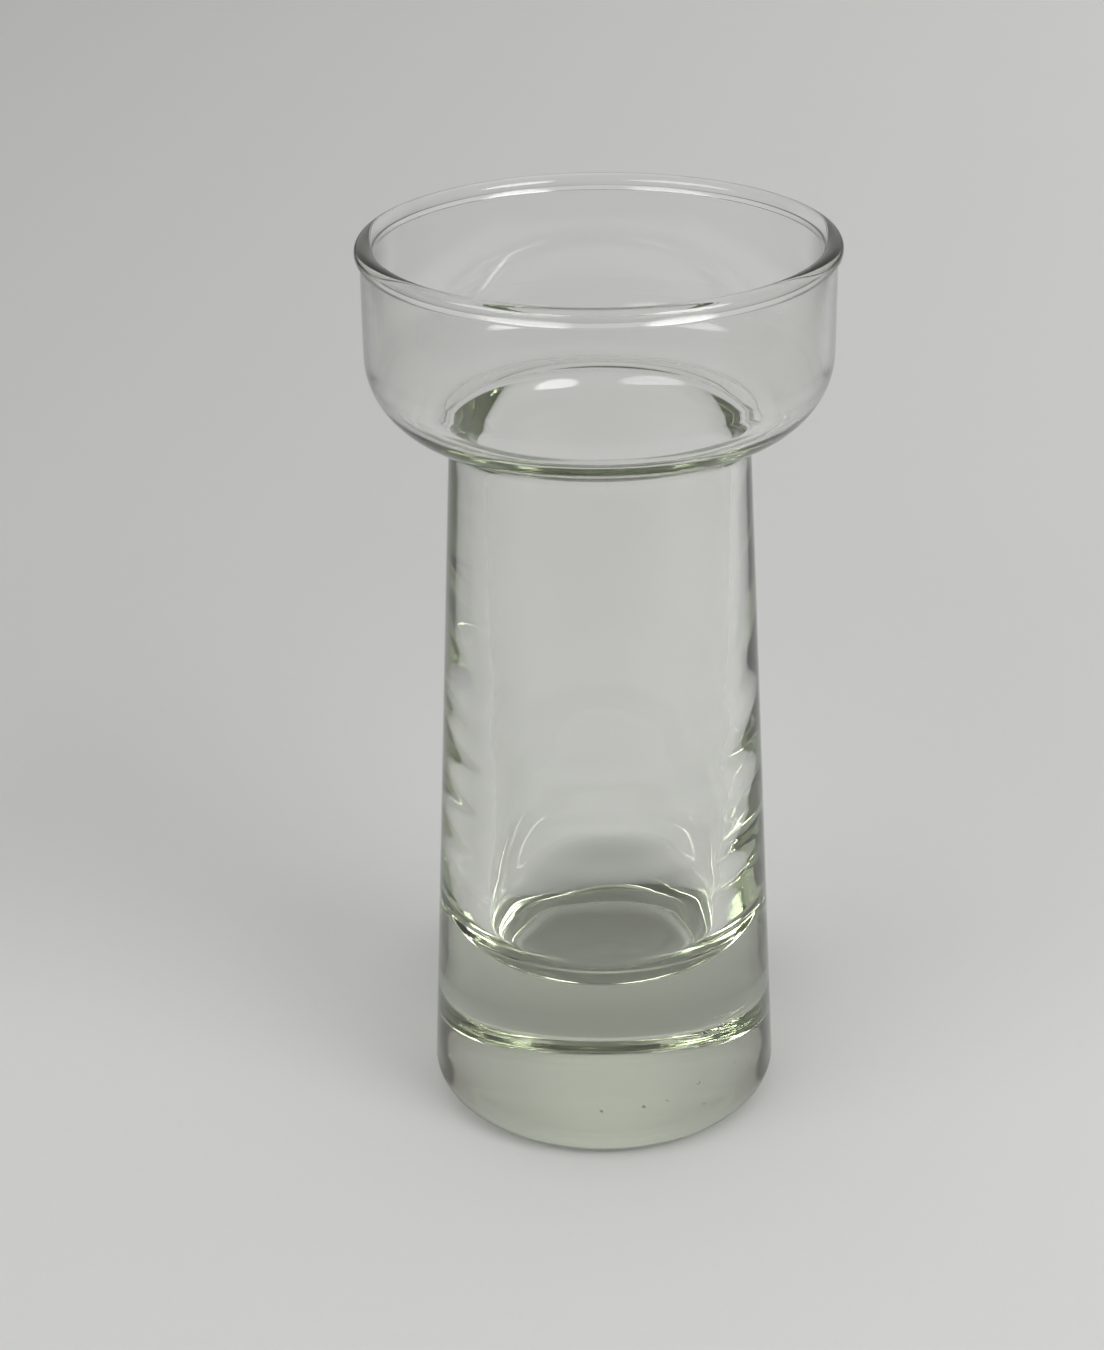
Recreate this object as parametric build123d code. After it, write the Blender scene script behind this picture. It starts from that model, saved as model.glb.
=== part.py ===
# Hyacinth forcing vase: clear glass column on a thick solid base, with a bulb cup on top.
# Millimetres, Z up, the foot stands on Z = 0 and the Z axis is the axis of the vase.
import os
from math import radians, tan

from build123d import *

# Driving sizes of the outside
COLUMN_HEIGHT = 120.0
CUP_HEIGHT = 30.0
FOOT_RADIUS = 29.5
NECK_RADIUS = 23.75
CUP_RADIUS = 36.7
HEEL_ROUNDING = 4.5
NECK_CREASE_ROUNDING = 0.8
PUNT_RADIUS = 17.0
PUNT_DEPTH = 0.8

# Driving sizes of the glass thickness
CUP_WALL = 2.0
SEAT_THICKNESS = 2.9
THROAT_WALL = 3.75
FLOOR_WALL = 8.6
FLOOR_THICKNESS = 27.4

# Driving sizes of the seat, the throat and the floor, with the angle in degrees
CUP_ROUNDING_STEP = 5.15
SEAT_SLOPE = 2.0
THROAT_LIP_ROUNDING = 7.5
THROAT_LAND = 3.0
FLOOR_ROUNDING = 8.5

# Driving sizes of the rolled rim
BEAD_PROUD_OUTSIDE = 0.8
BEAD_PROUD_INSIDE = 0.3
BEAD_ROOT_ROUNDING = 0.35

# Driving sizes of the joints between the zones of glass
BASE_COLLAR = 9.0
SEAT_SKIRT = 3.0
SAUCER_RISE = 2.0
BEAD_SKIRT = 1.0

# Outside of the cup, which rises from the neck in one rounding
total_height = COLUMN_HEIGHT + CUP_HEIGHT
cup_corner = CUP_RADIUS - NECK_RADIUS - NECK_CREASE_ROUNDING

# Inside of the cup: a wall, one rounding that follows the outer one, and a seat that falls to the throat
throat_radius = NECK_RADIUS - THROAT_WALL
cup_inner = CUP_RADIUS - CUP_WALL
cup_inner_rounding = cup_corner - CUP_ROUNDING_STEP
seat_top = COLUMN_HEIGHT + SEAT_THICKNESS
seat_edge = seat_top + (cup_inner - throat_radius) * tan(radians(SEAT_SLOPE))

# Rolled rim: as wide as the wall and what stands proud of it on both sides
bead_radius = (CUP_WALL + BEAD_PROUD_OUTSIDE + BEAD_PROUD_INSIDE) / 2
bead_middle = CUP_RADIUS + BEAD_PROUD_OUTSIDE - bead_radius
bead_height = total_height - bead_radius

# Throat: the rounded lip runs into a short straight land
lip_turn = radians(90 - SEAT_SLOPE)
land_top = seat_top - THROAT_LIP_ROUNDING * tan(lip_turn / 2)
land_bottom = land_top - THROAT_LAND

# Inside of the column: a bore with a slight draft from the land down to the floor
foot_taper = (FOOT_RADIUS - NECK_RADIUS) / COLUMN_HEIGHT
floor_radius = FOOT_RADIUS - foot_taper * FLOOR_THICKNESS - FLOOR_WALL

# Half section of the glass, drawn with the radius along X and the height along Y
section_points = [
    (PUNT_RADIUS, 0),
    (FOOT_RADIUS, 0),
    (NECK_RADIUS, COLUMN_HEIGHT),
    (CUP_RADIUS, COLUMN_HEIGHT),
    (CUP_RADIUS, bead_height),
    (cup_inner, bead_height),
    (cup_inner, seat_edge),
    (throat_radius, seat_top),
    (throat_radius, land_bottom),
    (floor_radius, FLOOR_THICKNESS),
    (0, FLOOR_THICKNESS),
]
section_roundings = [
    HEEL_ROUNDING,
    NECK_CREASE_ROUNDING,
    cup_corner,
    0,
    0,
    cup_inner_rounding,
    THROAT_LIP_ROUNDING,
    0,
    FLOOR_ROUNDING,
]
outline = FilletPolyline(*section_points, radius=section_roundings)
axis_line = Line((0, FLOOR_THICKNESS), (0, PUNT_DEPTH))
punt_arc = ThreePointArc(
    (0, PUNT_DEPTH),
    (PUNT_RADIUS / 2, PUNT_DEPTH * 3 / 4),
    (PUNT_RADIUS, 0),
)
wall_section = make_face([*outline.edges(), axis_line, punt_arc])

# Rolled rim on top of the wall, with small roundings where it meets the wall
rim_section = wall_section + Pos(bead_middle, bead_height) * Circle(bead_radius)
bead_roots = [
    corner
    for corner in rim_section.vertices()
    if bead_height - bead_radius < corner.Y < bead_height
]
glass_section = fillet(bead_roots, radius=BEAD_ROOT_ROUNDING)

# Heights of the level joints between the zones of glass
base_top = FLOOR_THICKNESS + FLOOR_ROUNDING + BASE_COLLAR
seat_bottom = land_bottom - SEAT_SKIRT
saucer_top = seat_edge + SAUCER_RISE
bead_bottom = bead_height - bead_radius - BEAD_SKIRT
section_reach = bead_middle + bead_radius


def turned_zone(low, high):
    # One level slice of the section, turned right round the axis of the vase
    band = Pos(section_reach / 2, (low + high) / 2) * Rectangle(section_reach, high - low)
    half = glass_section & band
    return revolve(Plane.XZ * half, Axis.Z, 360)


zones = {
    "solid_base": turned_zone(0, base_top),
    "column_wall": turned_zone(base_top, seat_bottom),
    "neck_seat": turned_zone(seat_bottom, saucer_top),
    "bulb_cup": turned_zone(saucer_top, bead_bottom),
    "rim_bead": turned_zone(bead_bottom, total_height),
}

os.makedirs("parts", exist_ok=True)
for node, shape in zones.items():
    export_step(shape.solid(), f"parts/{node}.step")
    box = shape.bounding_box()
    print(node, "volume", round(shape.volume), "from", round(box.min.Z, 3), "to", round(box.max.Z, 3))
print("throat radius", throat_radius, "from", round(land_bottom, 3), "to", round(land_top, 3))
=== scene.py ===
# %% [markdown]
# A hyacinth forcing vase is one piece of clear glass. A bulb sits in the cup at the top, and its roots hang
# through the narrow throat into the water column, which stands on a thick solid base.
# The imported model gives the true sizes. It is loaded first, and everything here is in metres in its frame.

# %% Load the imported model
import math

import bmesh
import bpy
from mathutils import Matrix, Vector, noise


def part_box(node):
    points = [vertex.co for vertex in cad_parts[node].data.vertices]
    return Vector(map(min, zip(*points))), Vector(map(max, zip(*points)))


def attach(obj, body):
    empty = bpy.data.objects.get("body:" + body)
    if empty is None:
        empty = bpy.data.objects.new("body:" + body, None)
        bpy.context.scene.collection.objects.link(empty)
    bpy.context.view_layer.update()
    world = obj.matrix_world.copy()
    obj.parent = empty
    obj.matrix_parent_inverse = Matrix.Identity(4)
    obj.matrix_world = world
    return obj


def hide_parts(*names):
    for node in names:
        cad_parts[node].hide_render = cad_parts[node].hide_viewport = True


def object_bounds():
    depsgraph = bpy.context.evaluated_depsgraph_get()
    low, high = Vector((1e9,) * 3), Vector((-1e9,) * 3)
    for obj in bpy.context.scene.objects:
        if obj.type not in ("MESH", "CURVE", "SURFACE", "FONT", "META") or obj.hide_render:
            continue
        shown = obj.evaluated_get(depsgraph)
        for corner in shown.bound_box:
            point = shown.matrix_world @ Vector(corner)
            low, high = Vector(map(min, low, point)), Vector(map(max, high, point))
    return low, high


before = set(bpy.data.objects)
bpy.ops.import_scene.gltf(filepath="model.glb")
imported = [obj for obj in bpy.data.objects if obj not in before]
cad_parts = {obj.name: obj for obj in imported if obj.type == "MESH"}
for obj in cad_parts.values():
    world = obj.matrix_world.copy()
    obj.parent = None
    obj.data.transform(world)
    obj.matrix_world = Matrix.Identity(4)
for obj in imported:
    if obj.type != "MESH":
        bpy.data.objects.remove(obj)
cad_low, cad_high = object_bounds()
MM = 0.001
print("box of the solids in mm", [round(c / MM, 2) for c in (*cad_low, *cad_high)])

# %% [markdown]
# The camera looks down from a little above the rim, and it is tilted by less than a degree. Its place and
# lens come from fitting the rim, the neck and the foot of the vase, so the proportions can be compared.

# %% Camera
CAMERA_PLACE = Vector((-8.1, -418.8, 273.9)) * MM
CAMERA_PITCH = 25.33
CAMERA_ROLL = -0.87
CAMERA_LENS = 75.2
SENSOR_WIDTH = 36.0
NEAREST_SEEN = 0.01
FARTHEST_SEEN = 100.0

camera_data = bpy.data.cameras.new("camera")
camera_data.lens = CAMERA_LENS
camera_data.sensor_width = SENSOR_WIDTH
camera_data.clip_start = NEAREST_SEEN
camera_data.clip_end = FARTHEST_SEEN
camera = bpy.data.objects.new("camera", camera_data)
look_down = Matrix.Rotation(math.radians(90 - CAMERA_PITCH), 4, "X")
tilt = Matrix.Rotation(math.radians(CAMERA_ROLL), 4, "Z")
camera.matrix_world = Matrix.Translation(CAMERA_PLACE) @ look_down @ tilt
bpy.context.scene.collection.objects.link(camera)
bpy.context.scene.camera = camera
bpy.context.scene.view_settings.view_transform = "Standard"
print("camera at", [round(c / MM, 1) for c in CAMERA_PLACE], "mm, lens", CAMERA_LENS, "mm")

# %% [markdown]
# Colours are written as the hex values that a painter would pick, and one function turns them to the linear
# values that the shaders use. A second small function adds a node, sets its values and links its inputs.

# %% Colour and node helpers


def linear(hex_colour):
    # A colour written as RRGGBB in sRGB, as linear red, green, blue and a full alpha
    channels = [int(hex_colour[i:i + 2], 16) / 255 for i in (0, 2, 4)]
    return [c / 12.92 if c <= 0.04045 else ((c + 0.055) / 1.055) ** 2.4 for c in channels] + [1.0]


def add_node(tree, kind, values=None, links=None, **settings):
    # A shader node with its settings, its plain input values and the sockets that feed it
    node = tree.nodes.new(kind)
    for name, value in settings.items():
        setattr(node, name, value)
    for socket, value in (values or {}).items():
        node.inputs[socket].default_value = value
    for socket, source in (links or {}).items():
        tree.links.new(source, node.inputs[socket])
    return node


# %% [markdown]
# The glass is turned, so its half section is drawn and spun round the axis. The corners of the section are
# the few points below, and the bevel operator gives each corner the rounding that it has on the solids.
# The zones of the solids could be shown as they are, but their level joints would show in clear glass.

# %% Sizes of the section
COLUMN_HEIGHT = 120.0
FOOT_RADIUS = 29.5
NECK_RADIUS = 23.75
HEEL_ROUNDING = 4.5
NECK_CREASE_ROUNDING = 0.8
PUNT_RADIUS = 17.0
PUNT_DEPTH = 0.8
CUP_WALL = 2.0
SEAT_THICKNESS = 2.9
THROAT_WALL = 3.75
FLOOR_WALL = 8.6
FLOOR_THICKNESS = 27.4
CUP_ROUNDING_STEP = 5.15
SEAT_SLOPE = 2.0
THROAT_LIP_ROUNDING = 7.5
THROAT_LAND = 3.0
FLOOR_ROUNDING = 8.5
BEAD_PROUD_OUTSIDE = 0.8
BEAD_PROUD_INSIDE = 0.3
BEAD_ROOT_ROUNDING = 0.35

total_height = cad_high.z / MM
cup_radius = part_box("bulb_cup")[1].x / MM
cup_corner = cup_radius - NECK_RADIUS - NECK_CREASE_ROUNDING
throat_radius = NECK_RADIUS - THROAT_WALL
cup_inner = cup_radius - CUP_WALL
cup_inner_rounding = cup_corner - CUP_ROUNDING_STEP
seat_top = COLUMN_HEIGHT + SEAT_THICKNESS
seat_edge = seat_top + (cup_inner - throat_radius) * math.tan(math.radians(SEAT_SLOPE))
land_top = seat_top - THROAT_LIP_ROUNDING * math.tan(math.radians(90 - SEAT_SLOPE) / 2)
land_bottom = land_top - THROAT_LAND
bead_radius = (CUP_WALL + BEAD_PROUD_OUTSIDE + BEAD_PROUD_INSIDE) / 2
bead_middle = cup_radius + BEAD_PROUD_OUTSIDE - bead_radius
bead_height = total_height - bead_radius
foot_taper = (FOOT_RADIUS - NECK_RADIUS) / COLUMN_HEIGHT
floor_radius = FOOT_RADIUS - foot_taper * FLOOR_THICKNESS - FLOOR_WALL
print("throat radius", throat_radius, "mm, cup radius", round(cup_radius, 2), "mm")

# %% [markdown]
# The outside and the inside are two open wires that meet at the top of the rim. They are spun apart, because
# only the inside is made uneven later, and it needs shorter steps for that. Both are joined after it.

# %% Draw and spin the outside and the inside
OUTSIDE_STEP = 5.0
INSIDE_STEP = 1.2
BEAD_STEPS = 24
PUNT_STEPS = 16
CORNER_STEPS = 16
SPIN_STEPS = 256


def round_corner(section, corner, rounding):
    # Replaces a corner of the wire with an arc of that radius, in millimetres
    before, after = [(edge.other_vert(corner).co - corner.co) for edge in corner.link_edges]
    half_turn = (math.pi - before.angle(after)) / 2
    bmesh.ops.bevel(
        section,
        geom=[corner],
        offset=rounding * MM * math.tan(half_turn),
        offset_type="OFFSET",
        segments=CORNER_STEPS,
        profile=0.5,
        affect="VERTICES",
        material=-1,
        clamp_overlap=False,
    )


def turned(corners, step):
    # Half a section, given as radius, height and rounding of its corners, spun right round the axis.
    # No straight piece of it stays longer than the step, in millimetres.
    section = bmesh.new()
    points = [section.verts.new((radius * MM, 0.0, height * MM)) for radius, height, rounding in corners]
    for first, second in zip(points, points[1:]):
        section.edges.new((first, second))
    for point, (radius, height, rounding) in zip(points, corners):
        if rounding:
            round_corner(section, point, rounding)
    for edge in list(section.edges):
        cuts = int(edge.calc_length() / (step * MM))
        if cuts:
            bmesh.ops.subdivide_edges(section, edges=[edge], cuts=cuts)
    bmesh.ops.spin(
        section,
        geom=section.verts[:] + section.edges[:],
        cent=(0, 0, 0),
        axis=(0, 0, 1),
        dvec=(0, 0, 0),
        angle=math.tau,
        steps=SPIN_STEPS,
        use_merge=True,
        use_duplicate=False,
    )
    return section


def punt_height(radius):
    # The shallow hollow under the base, a cap that meets the bearing ring
    return PUNT_DEPTH * (1 - (radius / PUNT_RADIUS) ** 2)


def bead_arc(start, end):
    # Points on the rolled rim between two angles about the middle of the bead
    angles = [start + (end - start) * i / BEAD_STEPS for i in range(BEAD_STEPS + 1)]
    return [
        (bead_middle + bead_radius * math.cos(angle), bead_height + bead_radius * math.sin(angle), 0)
        for angle in angles
    ]


bead_top = math.pi / 2
root_outside = -math.acos((cup_radius - bead_middle) / bead_radius)
root_inside = math.tau - math.acos((cup_inner - bead_middle) / bead_radius)
punt_radii = [PUNT_RADIUS * i / PUNT_STEPS for i in range(PUNT_STEPS + 1)]

outside_corners = [(radius, punt_height(radius), 0) for radius in punt_radii]
outside_corners += [
    (FOOT_RADIUS, 0.0, HEEL_ROUNDING),
    (NECK_RADIUS, COLUMN_HEIGHT, NECK_CREASE_ROUNDING),
    (cup_radius, COLUMN_HEIGHT, cup_corner),
]
outer_bead = bead_arc(root_outside, bead_top)
outside_corners += [(*outer_bead[0][:2], BEAD_ROOT_ROUNDING), *outer_bead[1:]]
inner_bead = bead_arc(bead_top, root_inside)
inside_corners = [*inner_bead[:-1], (*inner_bead[-1][:2], BEAD_ROOT_ROUNDING)]
inside_corners += [
    (cup_inner, seat_edge, cup_inner_rounding),
    (throat_radius, seat_top, THROAT_LIP_ROUNDING),
    (throat_radius, land_bottom, 0),
    (floor_radius, FLOOR_THICKNESS, FLOOR_ROUNDING),
    (0.0, FLOOR_THICKNESS, 0),
]
glass = turned(outside_corners, OUTSIDE_STEP)
hollow = turned(inside_corners, INSIDE_STEP)
print("outside has", len(glass.faces), "faces, inside has", len(hollow.faces))

# %% [markdown]
# The inside isn't as true as the outside. The bore stands a little to the right, so its wall is thicker on
# the left. The floor lies a little to the front and sags in the middle, and soft ripples run round the lower
# wall, where the glass chilled first. They could be a bump in the material, but the exported mesh would then
# be without them, so the points themselves are moved.

# %% Uneven inside
COLUMN_SHIFT = 0.9
FLOOR_SHIFT = -0.5
FLOOR_SAG = 0.7
SAG_RADIUS = 14.0
SHIFT_FADE = (60.0, 34.0)
THROAT_TRUE = (117.0, 125.0)
RIPPLE_DEPTH = 0.3
RIPPLE_HEIGHT = 7.0
RIPPLE_LENGTH = 24.0
RIPPLE_RANGE = (86.0, 72.0)
RIPPLE_END = (40.0, 46.0)
MERGE_DISTANCE = 0.001


def share(value, start, end):
    # How far a value is on the way from start to end, from 0 to 1, with soft ends
    part = min(1.0, max(0.0, (value - start) / (end - start)))
    return part * part * (3 - 2 * part)


def uneven(place):
    # How far a point of the inside lies from where a true lathe would put it, in millimetres
    low = share(place.z, *SHIFT_FADE)
    shift = Vector((COLUMN_SHIFT * (1 - low) * (1 - share(place.z, *THROAT_TRUE)), FLOOR_SHIFT * low, 0.0))
    outward = Vector((place.x, place.y, 0.0))
    if place.z < FLOOR_THICKNESS + FLOOR_ROUNDING:
        shift.z -= FLOOR_SAG * (1 - share(outward.length, 0.0, SAG_RADIUS))
    wave = Vector((place.x / RIPPLE_LENGTH, place.y / RIPPLE_LENGTH, place.z / RIPPLE_HEIGHT))
    depth = RIPPLE_DEPTH * share(place.z, *RIPPLE_RANGE) * share(place.z, *RIPPLE_END)
    return shift + outward.normalized() * depth * noise.noise(wave)


for vertex in hollow.verts:
    vertex.co += uneven(vertex.co / MM) * MM

hollow_mesh = bpy.data.meshes.new("hollow")
hollow.to_mesh(hollow_mesh)
hollow.free()
glass.from_mesh(hollow_mesh)
bpy.data.meshes.remove(hollow_mesh)
bmesh.ops.remove_doubles(glass, verts=glass.verts, dist=MERGE_DISTANCE * MM)
bmesh.ops.recalc_face_normals(glass, faces=glass.faces)
print("glass closed with", len(glass.faces), "faces")

# %% [markdown]
# A few seeds, tiny bubbles of the melt, sit under the skin of the base. Each is a hollow in the glass, so its
# faces are turned to look inwards. They are given by their place across, their height and their radius.

# %% Seeds
SEED_DEPTH = 1.3
SEED_DETAIL = 2
SEEDS = [
    (15.5, 20.6, 0.45), (14.9, 11.4, 0.28), (5.9, 9.4, 0.3), (9.7, 9.8, 0.18),
    (21.0, 11.9, 0.24), (20.7, 14.2, 0.18), (15.8, 7.0, 0.24), (-1.0, 9.1, 0.26),
]

for across, height, radius in SEEDS:
    skin_radius = FOOT_RADIUS - foot_taper * height - SEED_DEPTH
    nearest = -math.sqrt(skin_radius ** 2 - across ** 2)
    seed = bmesh.ops.create_icosphere(glass, subdivisions=SEED_DETAIL, radius=radius * MM)["verts"]
    bmesh.ops.translate(glass, verts=seed, vec=Vector((across, nearest, height)) * MM)
    bmesh.ops.reverse_faces(glass, faces=list({face for vertex in seed for face in vertex.link_faces}))
print("seeds in the base", len(SEEDS))

# %% [markdown]
# Clear soda-lime glass: the surface is fire-polished and clean, and the faint green comes from iron in the
# melt, so it belongs in the depth of the glass and not on its skin. Thick parts are then greener by
# themselves. Where the camera sees the skin edge-on, a painted shade darkens its colour, which draws the thin
# outline of clear glass on a pale ground.

# %% Clear soda-lime glass
GLASS_IOR = 1.52
GLASS_DEPTH_COLOUR = "d2dac1"
GLASS_DENSITY = 15.0
SKIN_WAVE = 14.0
SKIN_WAVE_DEPTH = 0.012
SKIN_WAVE_DETAIL = 1.0
HANDLING_MARK = 9.0
HANDLING_DETAIL = 4.0
HANDLING_RANGE = (0.55, 0.75)
HANDLING_ROUGHNESS = 0.012
SKIN_COLOUR = "ffffff"
# Painted shade on the skin, where the camera sees it edge-on
PAINTED_EDGE_SHADE = "4c524d"
PAINTED_EDGE_RANGE = (0.55, 0.95)


def make_clear_glass():
    # Fire-polished soda-lime glass, with faint waves, traces of handling and the green of iron in its depth
    material = bpy.data.materials.new("fire_polished_soda_lime_glass")
    material.use_nodes = True
    tree = material.node_tree
    tree.nodes.clear()
    place = add_node(tree, "ShaderNodeTexCoord")
    waves = add_node(tree, "ShaderNodeTexNoise", {
        "Scale": 1 / (SKIN_WAVE * MM),
        "Detail": SKIN_WAVE_DETAIL,
    }, {"Vector": place.outputs["Object"]})
    skin = add_node(tree, "ShaderNodeBump", {
        "Strength": 1.0,
        "Distance": SKIN_WAVE_DEPTH * MM,
    }, {"Height": waves.outputs["Fac"]})
    traces = add_node(tree, "ShaderNodeTexNoise", {
        "Scale": 1 / (HANDLING_MARK * MM),
        "Detail": HANDLING_DETAIL,
    }, {"Vector": place.outputs["Object"]})
    polish = add_node(tree, "ShaderNodeMapRange", {
        "From Min": HANDLING_RANGE[0],
        "From Max": HANDLING_RANGE[1],
        "To Max": HANDLING_ROUGHNESS,
    }, {"Value": traces.outputs["Fac"]})
    # Painted shade: where the camera sees the skin edge-on, its colour is mixed towards a dark grey-green
    facing = add_node(tree, "ShaderNodeLayerWeight")
    edge = add_node(tree, "ShaderNodeMapRange", {
        "From Min": PAINTED_EDGE_RANGE[0],
        "From Max": PAINTED_EDGE_RANGE[1],
    }, {"Value": facing.outputs["Facing"]}, interpolation_type="SMOOTHSTEP")
    path = add_node(tree, "ShaderNodeLightPath")
    outline = add_node(tree, "ShaderNodeMath", links={
        0: edge.outputs["Result"],
        1: path.outputs["Is Camera Ray"],
    }, operation="MULTIPLY")
    painted_edge_tint = add_node(tree, "ShaderNodeMix", links={"Factor": outline.outputs[0]}, data_type="RGBA")
    painted_edge_tint.inputs["A"].default_value = linear(SKIN_COLOUR)
    painted_edge_tint.inputs["B"].default_value = linear(PAINTED_EDGE_SHADE)
    surface = add_node(tree, "ShaderNodeBsdfPrincipled", {
        "IOR": GLASS_IOR,
        "Transmission Weight": 1.0,
    }, {
        "Base Color": painted_edge_tint.outputs["Result"],
        "Roughness": polish.outputs["Result"],
        "Normal": skin.outputs[0],
    })
    depth = add_node(tree, "ShaderNodeVolumeAbsorption", {
        "Color": linear(GLASS_DEPTH_COLOUR),
        "Density": GLASS_DENSITY,
    })
    add_node(tree, "ShaderNodeOutputMaterial", links={
        "Surface": surface.outputs[0],
        "Volume": depth.outputs[0],
    })
    return material


# %% [markdown]
# The skin is one object that stands for all five zones, so that none of them shows twice. It rides on the
# one body that the vase has.

# %% Put the glass in place
vase_mesh = bpy.data.meshes.new("vase_glass")
glass.to_mesh(vase_mesh)
glass.free()
vase_mesh.shade_smooth()
vase_mesh.materials.append(make_clear_glass())
vase = bpy.data.objects.new("vase_glass", vase_mesh)
bpy.context.scene.collection.objects.link(vase)
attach(vase, "root")
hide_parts("solid_base", "column_wall", "neck_seat", "bulb_cup", "rim_bead")
print("glass has", len(vase_mesh.polygons), "faces and stands for all five zones")

# %% [markdown]
# The vase stands on plain pale card. The card lies a hair below the foot, because glass that only stands on
# a surface has a film of air under it, and that film mirrors light inside the base. Its colour carries
# painted
# light and shade: it is a little brighter to the front and the right, and a painted soft shade lies just
# behind the base, where thick glass holds light back. Far to the sides and in front it turns a darker grey,
# which the glass shows in its reflections.

# %% Pale card
# Places and reaches are in millimetres, and the lean is what each metre to the right adds
CARD_COLOUR = "d9d9d7"
OUTER_GREY_COLOUR = "8e8b87"
CARD_SIDE = (270.0, 400.0)
CARD_FRONT = (140.0, 340.0)
# Painted light and shade: the card is darker towards the back and brighter to the right
PAINTED_LIGHT_LEAN = 0.45
PAINTED_LIGHT_LEAN_REACH = 250.0
PAINTED_SHADE_FAR_RANGE = (-40.0, 240.0)
PAINTED_SHADE_FAR_LEVEL = 0.865
# Painted shade: a soft oval behind the base darkens the card's colour
SHADE_PLACE = (0.0, 30.0)
SHADE_REACH = (48.0, 37.0)
SHADE_CORE = 0.25
SHADE_LEVEL = 0.77
CARD_TOOTH = 0.7
CARD_TOOTH_DETAIL = 3.0
CARD_TOOTH_ROUGHNESS = 0.6
CARD_TOOTH_DEPTH = 0.02
CARD_TOOTH_STRENGTH = 0.5
CARD_GRAIN = 0.015
CARD_ROUGHNESS = 0.9
CARD_GLOSS = 0.2


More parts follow.
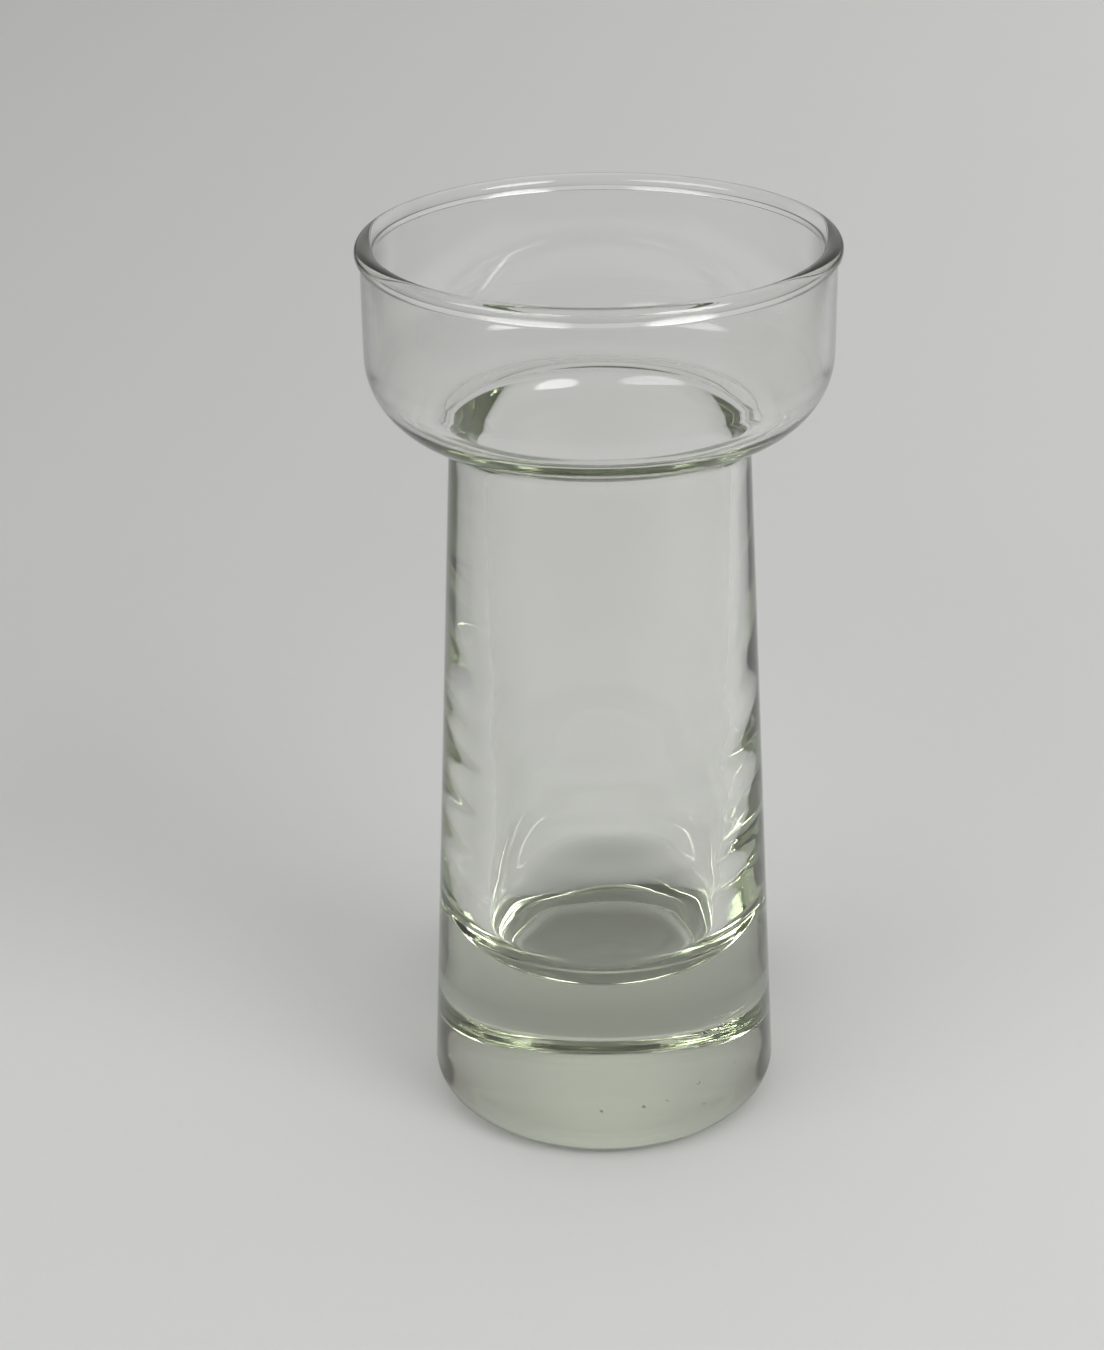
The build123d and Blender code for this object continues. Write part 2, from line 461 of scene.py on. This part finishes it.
def make_pale_card():
    # Matt pale card with a fine tooth and painted light and shade, turning a darker grey beyond its sides and
    # front
    material = bpy.data.materials.new("matt_pale_card")
    material.use_nodes = True
    tree = material.node_tree
    tree.nodes.clear()
    place = add_node(tree, "ShaderNodeTexCoord")
    along = add_node(tree, "ShaderNodeSeparateXYZ", links={"Vector": place.outputs["Object"]})
    # Beyond the sides and the front, the card turns a darker grey
    side = add_node(tree, "ShaderNodeMath", links={0: along.outputs["X"]}, operation="ABSOLUTE")
    past_side = add_node(tree, "ShaderNodeMapRange", {
        "From Min": CARD_SIDE[0] * MM,
        "From Max": CARD_SIDE[1] * MM,
    }, {"Value": side.outputs[0]}, interpolation_type="SMOOTHSTEP")
    past_front = add_node(tree, "ShaderNodeMapRange", {
        "From Min": -CARD_FRONT[0] * MM,
        "From Max": -CARD_FRONT[1] * MM,
    }, {"Value": along.outputs["Y"]}, interpolation_type="SMOOTHSTEP")
    past = add_node(tree, "ShaderNodeMath", links={
        0: past_side.outputs["Result"],
        1: past_front.outputs["Result"],
    }, operation="MAXIMUM")
    plain = add_node(tree, "ShaderNodeMix", links={"Factor": past.outputs[0]}, data_type="RGBA")
    plain.inputs["A"].default_value = linear(CARD_COLOUR)
    plain.inputs["B"].default_value = linear(OUTER_GREY_COLOUR)

    # Painted light and shade: the card is brighter to the front and to the right
    painted_far_shade = add_node(tree, "ShaderNodeMapRange", {
        "From Min": PAINTED_SHADE_FAR_RANGE[0] * MM,
        "From Max": PAINTED_SHADE_FAR_RANGE[1] * MM,
        "To Min": 1.0,
        "To Max": PAINTED_SHADE_FAR_LEVEL,
    }, {"Value": along.outputs["Y"]}, interpolation_type="SMOOTHSTEP")
    painted_light_lean_reach = PAINTED_LIGHT_LEAN_REACH * MM
    painted_light_lean = add_node(tree, "ShaderNodeMapRange", {
        "From Min": -painted_light_lean_reach,
        "From Max": painted_light_lean_reach,
        "To Min": -painted_light_lean_reach * PAINTED_LIGHT_LEAN,
        "To Max": painted_light_lean_reach * PAINTED_LIGHT_LEAN,
    }, {"Value": along.outputs["X"]})
    across = add_node(tree, "ShaderNodeMath", links={
        0: painted_far_shade.outputs["Result"],
        1: painted_light_lean.outputs["Result"],
    }, operation="ADD")

    # Painted shade: the soft oval shade behind the base
    behind_base = add_node(tree, "ShaderNodeVectorMath", {
        1: (SHADE_PLACE[0] * MM, SHADE_PLACE[1] * MM, 0),
    }, {0: place.outputs["Object"]}, operation="SUBTRACT")
    oval = add_node(tree, "ShaderNodeVectorMath", {
        1: (1 / (SHADE_REACH[0] * MM), 1 / (SHADE_REACH[1] * MM), 0),
    }, {0: behind_base.outputs[0]}, operation="MULTIPLY")
    reach = add_node(tree, "ShaderNodeVectorMath", links={0: oval.outputs[0]}, operation="LENGTH")
    painted_base_shade = add_node(tree, "ShaderNodeMapRange", {
        "From Min": SHADE_CORE,
        "From Max": 1.0,
        "To Min": SHADE_LEVEL,
        "To Max": 1.0,
    }, {"Value": reach.outputs["Value"]}, interpolation_type="SMOOTHSTEP")
    painted_light_and_shade = add_node(tree, "ShaderNodeMath", links={
        0: across.outputs[0],
        1: painted_base_shade.outputs["Result"],
    }, operation="MULTIPLY")

    # The tooth of the card, too fine to show as more than a faint grain
    fibres = add_node(tree, "ShaderNodeTexNoise", {
        "Scale": 1 / (CARD_TOOTH * MM),
        "Detail": CARD_TOOTH_DETAIL,
        "Roughness": CARD_TOOTH_ROUGHNESS,
    }, {"Vector": place.outputs["Object"]})
    grain = add_node(tree, "ShaderNodeMapRange", {
        "To Min": 1 - CARD_GRAIN,
        "To Max": 1 + CARD_GRAIN,
    }, {"Value": fibres.outputs["Fac"]})
    shade = add_node(tree, "ShaderNodeMath", links={
        0: grain.outputs["Result"],
        1: painted_light_and_shade.outputs[0],
    }, operation="MULTIPLY")
    colour = add_node(tree, "ShaderNodeVectorMath", links={
        0: plain.outputs["Result"],
        1: shade.outputs[0],
    }, operation="MULTIPLY")
    tooth = add_node(tree, "ShaderNodeBump", {
        "Strength": CARD_TOOTH_STRENGTH,
        "Distance": CARD_TOOTH_DEPTH * MM,
    }, {"Height": fibres.outputs["Fac"]})
    surface = add_node(tree, "ShaderNodeBsdfPrincipled", {
        "Roughness": CARD_ROUGHNESS,
        "Specular IOR Level": CARD_GLOSS,
    }, {"Base Color": colour.outputs[0], "Normal": tooth.outputs[0]})
    add_node(tree, "ShaderNodeOutputMaterial", links={"Surface": surface.outputs[0]})
    return material


# %% Floor
FLOOR_GAP = 0.1
FLOOR_REACH = 14.0
FLOOR_SIDES = 96

card = bmesh.new()
bmesh.ops.create_circle(card, cap_ends=True, segments=FLOOR_SIDES, radius=FLOOR_REACH)
bmesh.ops.translate(card, verts=card.verts, vec=(0, 0, -FLOOR_GAP * MM))
card_mesh = bpy.data.meshes.new("floor")
card.to_mesh(card_mesh)
card.free()
card_mesh.materials.append(make_pale_card())
floor = bpy.data.objects.new("floor", card_mesh)
bpy.context.scene.collection.objects.link(floor)
print("floor reaches", FLOOR_REACH, "m and lies", FLOOR_GAP, "mm below the foot")

# %% [markdown]
# Two large soft lights stand in front, to the left and right of the camera, so the soft shadows fall back to
# both sides. They are glowing panels that fade towards their edges, as lamps behind cloth do.
# The glass shows them brighter than what they cast, because most of the light comes from the whole room.
# Light Path counts how often light has passed the skin of the glass and how often it was mirrored there.
# The counts tell the small glints, which are kept, from hard streaks in the base and the column, which are
# held back.

# %% Glow of the lights
LIGHT_FADE = 0.4
LIGHT_CAST = 0.62
LIGHT_SPARK = 2.0
WALL_LEVEL = 0.3

# Limits of the counts lie between whole numbers, and the pairs are a middle and a reach to both sides
NOT_SCATTERED = 0.5
SPARK_TURNS = 2.5
SOME_PASSES = 2.5
MANY_PASSES = 4.5
BASE_TURNS = (3.5, 2.0)
COLUMN_TURNS = (1.5, 0.75)


def add_seen(tree, path):
    # One where the glass shows its surroundings to the camera, and zero where they only cast light
    bent = add_node(tree, "ShaderNodeMath", links={
        0: path.outputs["Is Glossy Ray"],
        1: path.outputs["Is Transmission Ray"],
    }, operation="MAXIMUM")
    straight = add_node(tree, "ShaderNodeMath", {1: NOT_SCATTERED}, {
        0: path.outputs["Diffuse Depth"],
    }, operation="LESS_THAN")
    seen = add_node(tree, "ShaderNodeMath", links={
        0: bent.outputs[0],
        1: straight.outputs[0],
    }, operation="MULTIPLY")
    return seen.outputs[0]


def make_glow(name, wide, high, strength):
    # Light that is even in the middle of an oval panel and fades out at its edge
    material = bpy.data.materials.new(name)
    material.use_nodes = True
    tree = material.node_tree
    tree.nodes.clear()
    place = add_node(tree, "ShaderNodeTexCoord")
    oval = add_node(tree, "ShaderNodeVectorMath", {1: (2 / wide, 2 / high, 0)}, {
        0: place.outputs["Object"],
    }, operation="MULTIPLY")
    reach = add_node(tree, "ShaderNodeVectorMath", links={0: oval.outputs[0]}, operation="LENGTH")
    fade = add_node(tree, "ShaderNodeMapRange", {
        "From Min": 1.0,
        "From Max": 1.0 - LIGHT_FADE,
        "To Min": 0.0,
        "To Max": strength,
    }, {"Value": reach.outputs["Value"]}, interpolation_type="SMOOTHSTEP")

    # The panel casts less than it shows, and glints that turned often inside the glass are brighter
    path = add_node(tree, "ShaderNodeLightPath")
    shown = add_seen(tree, path)
    passes = path.outputs["Transmission Depth"]
    turns = path.outputs["Glossy Depth"]
    cast = add_node(tree, "ShaderNodeMapRange", {"To Min": LIGHT_CAST, "To Max": 1.0}, {"Value": shown})
    often = add_node(tree, "ShaderNodeMath", {1: SPARK_TURNS}, {0: turns}, operation="GREATER_THAN")
    spark_share = add_node(tree, "ShaderNodeMath", links={
        0: often.outputs[0],
        1: shown,
    }, operation="MULTIPLY")
    spark = add_node(tree, "ShaderNodeMapRange", {"To Min": 1.0, "To Max": LIGHT_SPARK}, {
        "Value": spark_share.outputs[0],
    })
    gain = add_node(tree, "ShaderNodeMath", links={
        0: cast.outputs["Result"],
        1: spark.outputs["Result"],
    }, operation="MULTIPLY")
    level = add_node(tree, "ShaderNodeMath", links={
        0: fade.outputs["Result"],
        1: gain.outputs[0],
    }, operation="MULTIPLY")

    # Where the glass would show the panel as a hard streak, it shows it no brighter than a wall
    many_passes = add_node(tree, "ShaderNodeMath", {1: MANY_PASSES}, {0: passes}, operation="GREATER_THAN")
    some_passes = add_node(tree, "ShaderNodeMath", {1: SOME_PASSES}, {0: passes}, operation="GREATER_THAN")
    in_base = add_node(tree, "ShaderNodeMath", {
        1: BASE_TURNS[0],
        2: BASE_TURNS[1],
    }, {0: turns}, operation="COMPARE")
    in_column = add_node(tree, "ShaderNodeMath", {
        1: COLUMN_TURNS[0],
        2: COLUMN_TURNS[1],
    }, {0: turns}, operation="COMPARE")
    streak = add_node(tree, "ShaderNodeMix", links={
        "Factor": some_passes.outputs[0],
        "A": in_base.outputs[0],
        "B": in_column.outputs[0],
    })
    deep = add_node(tree, "ShaderNodeMath", links={
        0: many_passes.outputs[0],
        1: streak.outputs["Result"],
    }, operation="MAXIMUM")
    hard = add_node(tree, "ShaderNodeMath", links={0: deep.outputs[0], 1: shown}, operation="MULTIPLY")
    brightness = add_node(tree, "ShaderNodeMix", {"B": WALL_LEVEL}, {
        "Factor": hard.outputs[0],
        "A": level.outputs[0],
    })
    glow = add_node(tree, "ShaderNodeEmission", links={"Strength": brightness.outputs["Result"]})
    add_node(tree, "ShaderNodeOutputMaterial", links={"Surface": glow.outputs[0]})
    return material


# %% Lights
# Distances and sizes are in metres, and angles in degrees
LIGHT_DISTANCE = 5.0
LIGHT_ELEVATION = 40.0
LIGHT_SIDES = 64
LIGHT_DISC = 0.5
LIGHTS = {
    "soft_light_left": {"azimuth": -50.0, "wide": 6.0, "high": 2.6, "strength": 4.8},
    "soft_light_right": {"azimuth": 47.0, "wide": 3.8, "high": 2.8, "strength": 8.6},
}

for name, light in LIGHTS.items():
    side = math.radians(light["azimuth"])
    rise = math.radians(LIGHT_ELEVATION)
    away = Vector((math.sin(side) * math.cos(rise), -math.cos(side) * math.cos(rise), math.sin(rise)))
    panel = bmesh.new()
    bmesh.ops.create_circle(panel, cap_ends=True, segments=LIGHT_SIDES, radius=LIGHT_DISC)
    bmesh.ops.scale(panel, verts=panel.verts, vec=(light["wide"], light["high"], 1.0))
    panel_mesh = bpy.data.meshes.new(name)
    panel.to_mesh(panel_mesh)
    panel.free()
    panel_mesh.materials.append(make_glow(name, light["wide"], light["high"], light["strength"]))
    lamp = bpy.data.objects.new(name, panel_mesh)
    facing = (-away).to_track_quat("Z", "Y").to_matrix().to_4x4()
    lamp.matrix_world = Matrix.Translation(away * LIGHT_DISTANCE) @ facing
    lamp.visible_camera = False
    bpy.context.scene.collection.objects.link(lamp)
    print(name, "at", [round(c, 2) for c in away * LIGHT_DISTANCE], "m")

# %% [markdown]
# The room is pale behind the vase, dark at both sides and dim in front. Clear glass shows its surroundings,
# so these give it its edges: the sides of the room draw the outline of the base, and a painted shade on the
# skin of the glass darkens it where the camera sees it edge-on.
# What falls on the card is the even light of the whole room, which keeps the shadows soft and faint.
# Light turns many times inside thick glass, so it is followed for more turns than Blender does by itself.

# %% Room
# The walls run from straight in front, at 0, to straight behind, at 1
ROOM_STOPS = {
    0.0: "838281", 0.04: "8b8a89", 0.15: "9d9c9a", 0.31: "908f8d", 0.5: "6a6663", 0.58: "6a6663",
    0.61: "352b27", 0.70: "352b27", 0.73: "8a8784", 0.85: "a4a3a1", 0.96: "b8b8b6", 1.0: "c8c8c6",
}
ROOM_TOP = "5a5a58"
ROOM_TOP_RANGE = (0.78, 0.95)
ROOM_CAST = "cdcdcd"
GLASS_BOUNCES = 32
MIRROR_BOUNCES = 16

world = bpy.data.worlds.new("room")
world.use_nodes = True
bpy.context.scene.world = world
tree = world.node_tree
tree.nodes.clear()
place = add_node(tree, "ShaderNodeTexCoord")
level = add_node(tree, "ShaderNodeVectorMath", {1: (1, 1, 0)}, {
    0: place.outputs["Generated"],
}, operation="MULTIPLY")
bearing = add_node(tree, "ShaderNodeVectorMath", links={0: level.outputs[0]}, operation="NORMALIZE")
behind = add_node(tree, "ShaderNodeSeparateXYZ", links={"Vector": bearing.outputs[0]})
turn = add_node(tree, "ShaderNodeMapRange", {"From Min": -1.0, "From Max": 1.0}, {
    "Value": behind.outputs["Y"],
})
walls = add_node(tree, "ShaderNodeValToRGB", links={"Fac": turn.outputs["Result"]})
stops = walls.color_ramp.elements
stops.remove(stops[1])
for position, colour in ROOM_STOPS.items():
    stop = stops.new(position) if position else stops[0]
    stop.color = linear(colour)
height = add_node(tree, "ShaderNodeSeparateXYZ", links={"Vector": place.outputs["Generated"]})
upward = add_node(tree, "ShaderNodeMapRange", {
    "From Min": ROOM_TOP_RANGE[0],
    "From Max": ROOM_TOP_RANGE[1],
}, {"Value": height.outputs["Z"]})
room = add_node(tree, "ShaderNodeMix", links={
    "Factor": upward.outputs["Result"],
    "A": walls.outputs["Color"],
}, data_type="RGBA")
room.inputs["B"].default_value = linear(ROOM_TOP)
shown = add_seen(tree, add_node(tree, "ShaderNodeLightPath"))
around = add_node(tree, "ShaderNodeMix", links={
    "Factor": shown,
    "B": room.outputs["Result"],
}, data_type="RGBA")
around.inputs["A"].default_value = linear(ROOM_CAST)
glow = add_node(tree, "ShaderNodeBackground", links={"Color": around.outputs["Result"]})
add_node(tree, "ShaderNodeOutputWorld", links={"Surface": glow.outputs[0]})

bpy.context.scene.cycles.max_bounces = GLASS_BOUNCES
bpy.context.scene.cycles.transmission_bounces = GLASS_BOUNCES
bpy.context.scene.cycles.glossy_bounces = MIRROR_BOUNCES
print("room has", len(stops), "stops from front to back")
